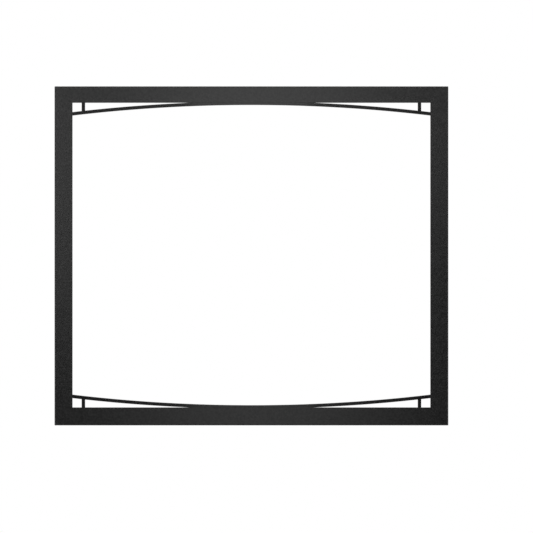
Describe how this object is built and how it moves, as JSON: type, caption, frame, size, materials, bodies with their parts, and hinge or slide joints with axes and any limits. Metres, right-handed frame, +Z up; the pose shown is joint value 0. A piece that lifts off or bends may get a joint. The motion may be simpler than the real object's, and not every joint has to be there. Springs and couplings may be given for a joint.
{
  "type": "fireplace front",
  "caption": "Flat black steel fireplace front: mitred frame with slim bowed bars and short corner posts at top and bottom; it hangs on a firebox by adjustable hooks and magnets.",
  "frame": {"origin": "middle of the underside, halfway between the front face and the tips of the hooks", "axes": "+X to the viewer's right, +Y away from the viewer towards the fireplace, +Z up"},
  "size_m": [0.9144, 0.034, 0.7874],
  "materials": {
    "powder_coat": "fine-textured satin black powder coat",
    "zinc_plate": "clear zinc plate on rolled steel",
    "copper_flash": "copper flash on steel weld studs",
    "nickel_plate": "bright nickel plate",
    "ferrite": "ground sintered ferrite"
  },
  "bodies": {
    "front_frame": {"top_rail": "powder_coat", "bottom_rail": "powder_coat", "left_stile": "powder_coat", "right_stile": "powder_coat", "upper_arch_bar": "powder_coat", "lower_arch_bar": "powder_coat", "upper_left_post": "powder_coat", "upper_right_post": "powder_coat", "lower_left_post": "powder_coat", "lower_right_post": "powder_coat", "post_welds": "powder_coat", "crown_welds": "powder_coat", "upper_left_gusset": "zinc_plate", "upper_right_gusset": "zinc_plate", "lower_left_gusset": "zinc_plate", "lower_right_gusset": "zinc_plate", "corner_nuts": "zinc_plate", "hanger_washers": "zinc_plate", "hanger_nuts": "zinc_plate", "left_magnet_bracket": "zinc_plate", "right_magnet_bracket": "zinc_plate", "bracket_nuts": "zinc_plate", "magnet_screws": "zinc_plate", "magnet_nuts": "zinc_plate", "corner_studs": "copper_flash", "hanger_studs": "copper_flash", "bracket_studs": "copper_flash", "left_magnet_cup": "nickel_plate", "right_magnet_cup": "nickel_plate", "left_magnet_ring": "ferrite", "right_magnet_ring": "ferrite"},
    "left_hanger": {"left_hanger": "zinc_plate"},
    "right_hanger": {"right_hanger": "zinc_plate"}
  },
  "joints": [
    {"name": "left_hanger_adjust", "type": "slide", "parent": "front_frame", "child": "left_hanger", "axis": [0, 0, 1], "range_m": [-0.006, 0.006]},
    {"name": "right_hanger_adjust", "type": "slide", "parent": "front_frame", "child": "right_hanger", "axis": [0, 0, 1], "range_m": [-0.006, 0.006]}
  ]
}
